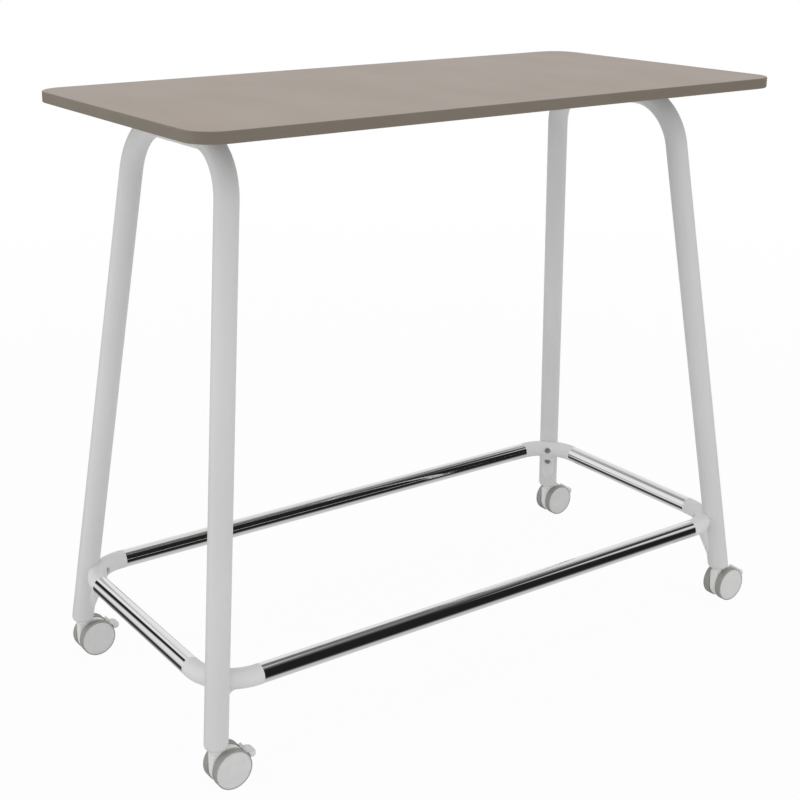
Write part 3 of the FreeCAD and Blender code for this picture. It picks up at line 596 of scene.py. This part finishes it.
def screw_tree():
    """Cap screws with hexagon sockets, one at each point, along the point's own axis."""
    graph, given = new_tree("Socket screws", {**CLAMP_SCREW, "Chamfer": 0.0006})

    def bar(sides, radius, length, bottom):
        """An upright bar from a height up, and the parts of its cylinder."""
        made = graph.node(
            "GeometryNodeMeshCylinder",
            {"fill_type": "NGON"},
            {"Vertices": sides, "Radius": radius, "Depth": length},
        )
        offset = graph.node("ShaderNodeCombineXYZ", inputs={"Z": bottom + length / 2})["Vector"]
        moved = graph.node(
            "GeometryNodeTransform", inputs={"Geometry": made["Mesh"], "Translation": offset}
        )
        return moved["Geometry"], made

    def narrowed(mesh, top, by, radius):
        """Push the end face on by a length while it narrows by the same."""
        pushed = graph.node(
            "GeometryNodeExtrudeMesh",
            {"mode": "FACES"},
            {"Mesh": mesh, "Selection": top, "Offset Scale": by},
        )
        return graph.node(
            "GeometryNodeScaleElements",
            {"domain": "FACE"},
            {"Geometry": pushed["Mesh"], "Selection": pushed["Top"], "Scale": (radius - by) / radius},
        )["Geometry"]

    chamfer = given["Chamfer"]
    head_radius = given["Head diameter"] / 2
    shank_radius = given["Shank diameter"] / 2
    head, head_parts = bar(48, head_radius, given["Head height"] - chamfer, 0)
    head = narrowed(head, head_parts["Top"], chamfer, head_radius)
    across_corners = given["Socket width"] / math.sqrt(3)
    depth = given["Socket depth"]
    socket, _ = bar(6, across_corners, depth * 2, given["Head height"] - depth)
    length = given["Shank length"]
    shank, _ = bar(32, shank_radius, length * 1.02, length * -1)
    hollowed = graph.node(
        "GeometryNodeMeshBoolean",
        {"operation": "DIFFERENCE", "solver": "EXACT"},
        {"Mesh 1": head, "Mesh 2": socket},
    )["Mesh"]
    both = graph.node("GeometryNodeMeshBoolean", {"operation": "UNION", "solver": "EXACT"})
    for part in (hollowed, shank):
        graph.tree.links.new(part.socket, both.node.inputs["Mesh 2"])
    axis = graph.node(
        "GeometryNodeInputNamedAttribute", {"data_type": "FLOAT_VECTOR"}, {"Name": "axis"}
    )["Attribute"]
    turned = graph.node("FunctionNodeAlignRotationToVector", {"axis": "Z"}, {"Vector": axis})
    placed = graph.node(
        "GeometryNodeInstanceOnPoints",
        inputs={
            "Points": given["Geometry"],
            "Instance": both["Mesh"],
            "Rotation": turned["Rotation"],
        },
    )
    real = graph.node("GeometryNodeRealizeInstances", inputs={"Geometry": placed["Instances"]})
    return close_tree(graph, given, real["Geometry"])


def new_object(name, data):
    made = bpy.data.objects.new(name, data)
    bpy.context.scene.collection.objects.link(made)
    return made


def grow(name, mesh, tree, sizes):
    """Run a tree on a mesh and keep the result as a plain mesh."""
    piece = new_object(name, mesh)
    modifier = piece.modifiers.new("Shape", "NODES")
    modifier.node_group = tree
    for label, size in sizes.items():
        modifier[input_identifier(tree, label)] = size
    graph = bpy.context.evaluated_depsgraph_get()
    grown = bpy.data.meshes.new_from_object(
        piece.evaluated_get(graph), preserve_all_data_layers=True, depsgraph=graph
    )
    if not grown.polygons:
        raise RuntimeError(f"{name} came out empty")
    piece.modifiers.remove(modifier)
    piece.data = grown
    return piece


def polyline(name, points):
    mesh = bpy.data.meshes.new(name)
    mesh.from_pydata(points, [(i, i + 1) for i in range(len(points) - 1)], [])
    return mesh


def lathe(name, outline, centre, turns, material):
    """Turn a closed outline of (radius, across) about the axle, which lies along Y.

    Points at no radius close the shape on the axle."""
    shape = bmesh.new()
    rings = []
    for radius, across in outline:
        if radius == 0:
            rings.append([shape.verts.new(centre + Vector((0, across, 0)))] * turns)
            continue
        ring = []
        for step in range(turns):
            angle = 2 * math.pi * step / turns
            away = Vector((radius * math.cos(angle), across, radius * math.sin(angle)))
            ring.append(shape.verts.new(centre + away))
        rings.append(ring)
    for i, ring in enumerate(rings):
        following = rings[(i + 1) % len(rings)]
        for step in range(turns):
            after = (step + 1) % turns
            corners = [ring[step], ring[after], following[after], following[step]]
            distinct = list(dict.fromkeys(corners))
            if len(distinct) > 2:
                shape.faces.new(distinct)
    bmesh.ops.recalc_face_normals(shape, faces=shape.faces)
    mesh = bpy.data.meshes.new(name)
    shape.to_mesh(mesh)
    shape.free()
    mesh.materials.append(material)
    out = mesh.attributes.new("from_axle", "FLOAT", "POINT")
    side = mesh.attributes.new("from_middle", "FLOAT", "POINT")
    for i, vertex in enumerate(mesh.vertices):
        offset = vertex.co - centre
        out.data[i].value = math.hypot(offset.x, offset.z)
        side.data[i].value = offset.y
    mesh.shade_smooth()
    mesh.set_sharp_from_angle(angle=WHEEL_CREASE)
    return new_object(name, mesh)


def rounded(corners, steps=6):
    """An outline of (radius, across, softness), with each corner eased over its softness."""
    result = []
    for i, (*place, softness) in enumerate(corners):
        here = Vector(place)
        before = (Vector(corners[i - 1][:2]) - here).normalized() * softness
        after = (Vector(corners[(i + 1) % len(corners)][:2]) - here).normalized() * softness
        for step in range(steps + 1 if softness else 1):
            share = step / steps
            result.append(tuple(here + before * (1 - share) ** 2 + after * share**2))
    return result


def islands(node):
    """The separate solids of a CAD node, each as a list of points."""
    shape = bmesh.new()
    shape.from_mesh(NODES[node].data)
    bmesh.ops.remove_doubles(shape, verts=shape.verts, dist=WELD_DISTANCE)
    groups = []
    # a dict, unlike a set, gives the same order on every run
    unseen = dict.fromkeys(shape.verts)
    while unseen:
        reached = [unseen.popitem()[0]]
        for vertex in reached:
            for edge in vertex.link_edges:
                other = edge.other_vert(vertex)
                if other in unseen:
                    del unseen[other]
                    reached.append(other)
        groups.append([vertex.co.copy() for vertex in reached])
    shape.free()
    return groups


def seats_of_screws(node, head_height):
    """Points under the heads of a node's screws, each with its axis towards the head."""
    points, axes = [], []
    for screw in islands(node):
        middle = Vector(numpy.mean(screw, axis=0))
        spread = numpy.array(screw) - numpy.array(middle)
        axis = Vector(numpy.linalg.svd(spread, full_matrices=False)[2][0])
        widest = max(screw, key=lambda point: axis.cross(point - middle).length)
        if axis.dot(widest - middle) < 0:
            axis.negate()
        top = max(axis.dot(point - middle) for point in screw)
        points.append(middle + axis * (top - head_height))
        axes.append(axis)
    mesh = bpy.data.meshes.new(node)
    mesh.from_pydata(points, [], [])
    stored = mesh.attributes.new("axis", "FLOAT_VECTOR", "POINT")
    for item, axis in zip(stored.data, axes):
        item.vector = axis
    return mesh


def keep_piece(piece, body, node):
    """Tie a finished piece to its body, and hide the node it stands for."""
    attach(piece, body)
    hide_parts(node)


# ---------------------------------------------------------------- operators


class TABLE_OT_worktop(Operator):
    """Finish the core board, its two laminates and the edge band"""

    bl_idname = "table.worktop"
    bl_label = "Worktop"

    def execute(self, context):
        look = context.scene.table_worktop
        low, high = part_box("tabletop_edge_band")
        dress("tabletop_core", core_finish("Particle board", look.core))
        dress("tabletop_laminate", laminate_finish("Laminate", look.laminate, look.grain, look.sheen))
        # The backing's colour carries painted shade for the underside, on top of its own greyer tone.
        dress(
            "tabletop_backing_laminate",
            laminate_finish("Backing laminate", look.backing, look.grain, look.sheen + 0.12),
        )
        # The band's colour carries painted shade for the upright edges.
        dress("tabletop_edge_band", band_finish("Edge band", look.band, low.z, high.z))
        return {"FINISHED"}


class TABLE_OT_leg_frames(Operator):
    """Bend the two leg frames from round tube"""

    bl_idname = "table.leg_frames"
    bl_label = "Leg frames"

    def execute(self, context):
        look = context.scene.table_frame
        tree = tube_tree()
        paint = powder_coat("Frame paint", look.paint, look.peel, SCUFF_HEIGHT)
        for side in SIDES:
            node = f"{side}_leg_frame"
            low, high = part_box(node)
            top = high.z - look.tube / 2
            out = -1 if side == "left" else 1
            crossbar = out * abs(middle_of(f"{side}_mounting_plate").x)
            drop = top - low.z
            foot_x = crossbar + out * math.tan(look.lean_out) * drop
            spread = math.tan(look.lean_across) / math.cos(look.lean_out)
            foot_y = look.corner_reach + spread * drop
            points = [
                (foot_x, -foot_y, low.z),
                (crossbar, -look.corner_reach, top),
                (crossbar, look.corner_reach, top),
                (foot_x, foot_y, low.z),
            ]
            sizes = {"Diameter": look.tube, "Bend radius": look.bend, "Material": paint}
            piece = grow(f"{side}_leg_tube", polyline(node, points), tree, sizes)
            for foot, knee in (points[:2], points[:1:-1]):
                self.level_end(piece, Vector(foot), Vector(knee))
            keep_piece(piece, BODY, node)
        return {"FINISHED"}

    def level_end(self, piece, foot, knee):
        """Slide the rim of a square tube end along the tube until it lies level."""
        along = (foot - knee).normalized()
        for vertex in piece.data.vertices:
            if abs(along.dot(vertex.co - foot)) < RIM_TOLERANCE:
                vertex.co += along * (foot.z - vertex.co.z) / along.z


class TABLE_OT_foot_caps(Operator):
    """Finish the plastic caps in the feet of the legs"""

    bl_idname = "table.foot_caps"
    bl_label = "Foot caps"

    def execute(self, context):
        plastic = moulded_plastic("Foot cap plastic", context.scene.table_frame.cap)
        for corner in CORNERS:
            dress(f"{corner}_foot_cap", plastic)
        return {"FINISHED"}


class TABLE_OT_footrest_rails(Operator):
    """Draw the four chromed rails of the footrest"""

    bl_idname = "table.footrest_rails"
    bl_label = "Footrest rails"

    def execute(self, context):
        look = context.scene.table_footrest
        tree = tube_tree()
        for name in ("front", "rear", "left", "right"):
            node = f"{name}_footrest_rail"
            size, middle = size_of(node), middle_of(node)
            along_x = size.x > size.y
            half = Vector((size.x / 2, 0, 0)) if along_x else Vector((0, size.y / 2, 0))
            plating = chrome(f"Chrome {name}", look.chrome, look.polish, look.scuffs, along_x)
            points = [tuple(middle - half), tuple(middle + half)]
            sizes = {"Diameter": size.z, "Bend radius": 0.0, "Sides": 128, "Material": plating}
            piece = grow(f"{name}_rail_tube", polyline(node, points), tree, sizes)
            keep_piece(piece, BODY, node)
        return {"FINISHED"}


class TABLE_OT_corner_connectors(Operator):
    """Finish the cast connectors between the rails and the legs"""

    bl_idname = "table.corner_connectors"
    bl_label = "Corner connectors"

    def execute(self, context):
        look = context.scene.table_frame
        peel = look.peel * 1.3
        paint = powder_coat("Connector paint", look.casting, peel, SCUFF_HEIGHT, 0.44)
        for corner in CORNERS:
            dress(f"{corner}_corner_connector", paint)
        return {"FINISHED"}


class TABLE_OT_mounting_plates(Operator):
    """Finish the plates under the worktop"""

    bl_idname = "table.mounting_plates"
    bl_label = "Mounting plates"

    def execute(self, context):
        look = context.scene.table_frame
        paint = powder_coat("Plate paint", look.paint, look.peel)
        for side in SIDES:
            dress(f"{side}_mounting_plate", paint)
        return {"FINISHED"}


class TABLE_OT_fasteners(Operator):
    """Set the socket screws in place, and finish the inserts and rivet nuts"""

    bl_idname = "table.fasteners"
    bl_label = "Screws, inserts and nuts"

    def execute(self, context):
        look = context.scene.table_frame
        tree = screw_tree()
        coated = plated_steel("Grey-coated steel", look.flake, 0.45, 0.25)
        zinc = plated_steel("Zinc-plated steel", look.steel)
        sets = (
            ("connector_screws", "connector_socket_screws", CLAMP_SCREW, coated, "dark_steel"),
            ("tabletop_screws", "plate_socket_screws", PLATE_SCREW, zinc, "zinc_steel"),
        )
        for node, name, sizes, steel, slot in sets:
            seats = seats_of_screws(node, sizes["Head height"])
            piece = grow(name, seats, tree, {**sizes, "Material": steel})
            keep_piece(piece, BODY, node)
        for node in ("tabletop_inserts", "leg_rivet_nuts"):
            dress(node, zinc)
        return {"FINISHED"}


class TABLE_OT_caster_housings(Operator):
    """Finish the casters' housings, stems, axles and brake levers"""

    bl_idname = "table.caster_housings"
    bl_label = "Caster housings and levers"

    def execute(self, context):
        look = context.scene.table_casters
        housing = moulded_plastic("Caster plastic", look.housing)
        lever = moulded_plastic("Lever plastic", look.lever, 0.0011, 0.46, 0.1)
        steel = plated_steel("Caster steel", context.scene.table_frame.steel, 0.28)
        for corner in CORNERS:
            dress(f"{corner}_caster_body", housing)
            dress(f"{corner}_caster_stem", steel)
            dress(f"{corner}_caster_axle", steel)
            dress(f"{corner}_brake_lever", lever)
        return {"FINISHED"}


class TABLE_OT_wheels(Operator):
    """Turn the eight wheels and their treads"""

    bl_idname = "table.wheels"
    bl_label = "Wheels"

    def execute(self, context):
        look = context.scene.table_casters
        nylon = wheel_disc("Wheel plastic", look.disc)
        rubber = tread("Tread", look.tyre)
        for corner in CORNERS:
            for side in WHEEL_SIDES:
                wheel, tyre = f"{corner}_{side}_wheel", f"{corner}_{side}_tyre"
                outwards = -1 if side == "front" else 1
                centre = middle_of(wheel)
                shapes = (
                    ("disc_wheel", "wheel_plastic", wheel, self.wheel_outline, nylon),
                    ("tread", "tyre_rubber", tyre, self.tread_outline, rubber),
                )
                for name, slot, node, outline_of, material in shapes:
                    outline = rounded(outline_of(look, wheel, tyre))
                    turned = [(radius, outwards * across) for radius, across in outline]
                    piece = lathe(f"{corner}_{side}_{name}", turned, centre, look.turns, material)
                    keep_piece(piece, f"{corner}_{side}_wheel_set", node)
        return {"FINISHED"}

    def wheel_outline(self, look, wheel, tyre):
        """A disc with a hub and a rim behind it; across is measured outwards."""
        size = size_of(wheel)
        face, back = size.y / 2, -size.y / 2
        web = face - DISC_THICKNESS
        disc, seat = size.x / 2, size_of(tyre).x / 2 - TREAD_THICKNESS
        rim = seat - look.rim
        return [
            (AXLE_HOLE_RADIUS, back, 0.0003),
            (HUB_RADIUS, back, 0.0004),
            (HUB_RADIUS, web, 0.001),
            (rim, web, 0.001),
            (rim, back, 0.0004),
            (seat, back, 0),
            (seat, web, 0),
            (disc, web, 0),
            (disc, face - look.crown, 0.001),
            (disc * 0.85, face - look.crown * 0.7, 0),
            (disc * 0.6, face - look.crown * 0.35, 0),
            (disc * 0.3, face - look.crown * 0.1, 0),
            (0, face, 0),
            (0, web, 0),
            (AXLE_HOLE_RADIUS, web, 0),
        ]

    def tread_outline(self, look, wheel, tyre):
        """A soft ring with fine grooves round it and a lip round the disc."""
        size = size_of(tyre)
        face, back = size.y / 2, -size.y / 2
        web = face - DISC_THICKNESS
        out, disc = size.x / 2, size_of(wheel).x / 2
        seat = out - TREAD_THICKNESS
        grooves = [
            (out - look.groove * depth, across + aside, 0)
            for across in GROOVE_PLACES
            for aside, depth in GROOVE_SHAPE
        ]
        return [
            (seat, back, 0),
            (out, back, TREAD_SHOULDER),
            *grooves,
            (out, face, TREAD_SHOULDER),
            (disc, face, 0),
            (disc, web, 0),
            (seat, web, 0),
        ]


class TABLE_OT_studio(Operator):
    """Lay the floor, light it softly and place the camera"""

    bl_idname = "table.studio"
    bl_label = "Studio"

    def execute(self, context):
        look = context.scene.table_studio
        self.lay_floor(look)
        self.light_room(context.scene, look)
        self.hang_lamps(look)
        self.place_camera(context.scene, look)
        context.scene.view_settings.view_transform = "Standard"
        return {"FINISHED"}

    def lay_floor(self, look):
        """A pale floor that keeps the table's shadow, and isn't there from below."""
        floor = Finish("Floor")
        rays = floor.node("ShaderNodeLightPath")
        seen = floor.maths(
            "MAXIMUM", rays["Is Camera Ray"],
            floor.maths("MAXIMUM", rays["Is Glossy Ray"], rays["Is Transmission Ray"]),
        )
        matt = floor.node("ShaderNodeBsdfDiffuse", inputs={"Color": solid(look.floor)})["BSDF"]
        white = floor.node("ShaderNodeEmission", inputs={"Strength": 1.0})["Emission"]
        away = floor.node("ShaderNodeVectorMath", {"operation": "LENGTH"}, {0: floor.place})["Value"]
        near, far = 1.2, 5.0
        clean = floor.between(away, near, far, 0.96, 1.0)
        lit = floor.either(seen * clean, matt, white)
        below = floor.node("ShaderNodeNewGeometry")["Backfacing"]
        clear = floor.node("ShaderNodeBsdfTransparent")["BSDF"]
        both = floor.either(below, lit, clear)
        floor.node("ShaderNodeOutputMaterial", inputs={"Surface": both})
        mesh = bpy.data.meshes.new("floor")
        corners = [
            (x * FLOOR_REACH, y * FLOOR_REACH, 0) for x, y in ((-1, -1), (1, -1), (1, 1), (-1, 1))
        ]
        mesh.from_pydata(corners, [], [(0, 1, 2, 3)])
        mesh.materials.append(floor.material)
        laid = new_object("floor", mesh)
        laid.visible_glossy = False

    def light_room(self, scene, look):
        """Even light from all round. Only reflections show the room's screens."""
        world = bpy.data.worlds.new("Room")
        world.use_nodes = True
        world.node_tree.nodes.clear()
        room = Graph(world.node_tree)
        rays = room.node("ShaderNodeLightPath")
        screens = self.screens(room)
        fill = room.node("ShaderNodeBackground", inputs={"Strength": look.fill})["Background"]
        white = room.node("ShaderNodeBackground", inputs={"Color": (1, 1, 1, 1)})["Background"]
        mirrored = room.node(
            "ShaderNodeBackground", inputs={"Color": (1, 1, 1, 1), "Strength": screens}
        )["Background"]
        plain = room.either(rays["Is Camera Ray"], fill, white)
        both = room.either(rays["Is Glossy Ray"], plain, mirrored)
        room.node("ShaderNodeOutputWorld", inputs={"Surface": both})
        scene.world = world

    def screens(self, room):
        """How bright the room looks in bright metal, by the direction in which it is seen.

        Turn is 0 straight behind the table and grows to the right; rise is 0 level. Before the
        table stands one tall dark screen with a window in it, over a floor that glows faintly.
        Behind it are a tilted dark strip near the floor, a small screen above the strip, a pale
        wall at the right and grey panels near the ceiling."""
        way = room.node("ShaderNodeTexCoord")["Generated"]
        parts = room.node("ShaderNodeSeparateXYZ", inputs={"Vector": way})
        degrees = 180 / math.pi
        turn = room.maths("ARCTAN2", parts["X"], parts["Y"]) * degrees
        rise = room.maths("ARCSINE", parts["Z"]) * degrees
        tilt = 0.4

        def by_rise(angle, stops):
            """Levels at stops in degrees, read at an angle."""
            settings = {"stops": [(degree / 180 + 0.5, level) for degree, level in stops]}
            ramp = room.node("ShaderNodeValToRGB", settings, {0: angle / 180 + 0.5})["Color"]
            return room.node("ShaderNodeSeparateColor", inputs={"Color": ramp})[0]

        def blend(factor, first, second):
            return first + factor * (second - first)

        def patch(turns, rises, softness):
            """1 inside a patch of the room, 0 outside."""
            made = 1
            for value, (low, high) in ((turn, turns), (rise, rises)):
                made = made * room.between(value, low - softness, low + softness)
                made = made * room.between(value, high + softness, high - softness)
            return made

        floor = by_rise(
            rise - tilt * (140 - abs(turn)),
            [(-90, 0.61), (-54, 0.55), (-44, 0.42), (-38, 0.2), (-32, 0.08), (-26, 0.02), (-20, 0)],
        )
        front = floor + by_rise(
            rise, [(42, 0.015), (47, 0.04), (54, 0.14), (60, 0.25), (64, 0.7), (90, 0.8)]
        )
        strip = by_rise(
            rise - tilt * (turn + 30),
            [(-90, 0.68), (-60, 0.62), (-50, 0.52), (-43, 0.26), (-35, 0.1), (-29, 0.05), (-25, 0.01),
             (-18, 0.012), (-14, 0.19), (-7, 0.63), (-1, 0.79), (10, 0.82), (28, 0.88), (40, 0.85)],
        )
        wall = by_rise(
            rise, [(-60, 0.64), (-44, 0.72), (-12, 0.9), (8, 0.88), (28, 0.86), (38, 0.77), (50, 0.76)]
        )
        behind = blend(room.between(turn, -2, 22), strip, wall)
        small_screen = patch((-32.3, -16.8), (10, 36), 3)
        grey_panel = patch((-38, 10), (41, 56), 6)
        ceiling_panel = patch((60, 130), (47, 61), 6)
        for screen, depth in ((small_screen, 0.98), (grey_panel, 0.66), (ceiling_panel, 0.55)):
            behind = behind * (1 - screen * depth)
        ahead = room.between(abs(turn), 62, 104)
        window = patch((112, 132.5), (17, 39.5), 4) * 0.74
        return room.maths("MAXIMUM", blend(ahead, behind, front), window)

    def hang_lamps(self, look):
        lamps = (
            ("overhead_lamp", (0.0, 0.2, 3.2), (3.0, 2.4), look.overhead),
            ("side_lamp", (-5.6, 0.8, 1.5), (3.2, 2.6), look.side),
            ("front_lamp", (1.4, -5.4, 0.9), (4.0, 2.4), look.front),
        )
        for name, place, size, power in lamps:
            lamp = bpy.data.lights.new(name, "AREA")
            lamp.shape = "RECTANGLE"
            lamp.size, lamp.size_y = size
            lamp.energy = power
            hung = new_object(name, lamp)
            hung.location = place
            aim = Vector(LAMPS_AIM) - hung.location
            hung.rotation_euler = aim.to_track_quat("-Z", "Y").to_euler()
            hung.visible_glossy = False

    def place_camera(self, scene, look):
        lens = bpy.data.cameras.new("camera")
        lens.lens = FOCAL_LENGTH
        lens.shift_x, lens.shift_y = LENS_SHIFT
        lens.clip_end = CAMERA_REACH
        camera = new_object("camera", lens)
        camera.location = look.camera_place
        camera.rotation_euler = (math.pi / 2 - look.camera_dip, 0, -look.camera_turn)
        scene.camera = camera


# ---------------------------------------------------------------- add-on


PIECES = (
    TABLE_OT_worktop,
    TABLE_OT_leg_frames,
    TABLE_OT_foot_caps,
    TABLE_OT_footrest_rails,
    TABLE_OT_corner_connectors,
    TABLE_OT_mounting_plates,
    TABLE_OT_fasteners,
    TABLE_OT_caster_housings,
    TABLE_OT_wheels,
    TABLE_OT_studio,
)

SETTINGS = {
    "table_worktop": WorktopSettings,
    "table_frame": FrameSettings,
    "table_footrest": FootrestSettings,
    "table_casters": CasterSettings,
    "table_studio": StudioSettings,
}


class TABLE_PT_pieces(Panel):
    """The table's pieces and their settings"""

    bl_idname = "TABLE_PT_pieces"
    bl_label = "Standing Meeting Table"
    bl_space_type = "VIEW_3D"
    bl_region_type = "UI"
    bl_category = "Meeting Table"

    def draw(self, context):
        layout = self.layout
        for piece in PIECES:
            layout.operator(piece.bl_idname)
        for name, settings in SETTINGS.items():
            box = layout.box()
            box.label(text=settings.__name__)
            for label in settings.__annotations__:
                box.prop(getattr(context.scene, name), label)


def register():
    for settings in SETTINGS.values():
        bpy.utils.register_class(settings)
    for name, settings in SETTINGS.items():
        setattr(bpy.types.Scene, name, PointerProperty(type=settings))
    for piece in (*PIECES, TABLE_PT_pieces):
        bpy.utils.register_class(piece)


def unregister():
    for piece in (TABLE_PT_pieces, *reversed(PIECES)):
        bpy.utils.unregister_class(piece)
    for name, settings in SETTINGS.items():
        delattr(bpy.types.Scene, name)
        bpy.utils.unregister_class(settings)


def main():
    """Make every piece and the studio."""
    register()
    for piece in PIECES:
        group, name = piece.bl_idname.split(".")
        getattr(getattr(bpy.ops, group), name)()


if __name__ == "__main__":
    main()
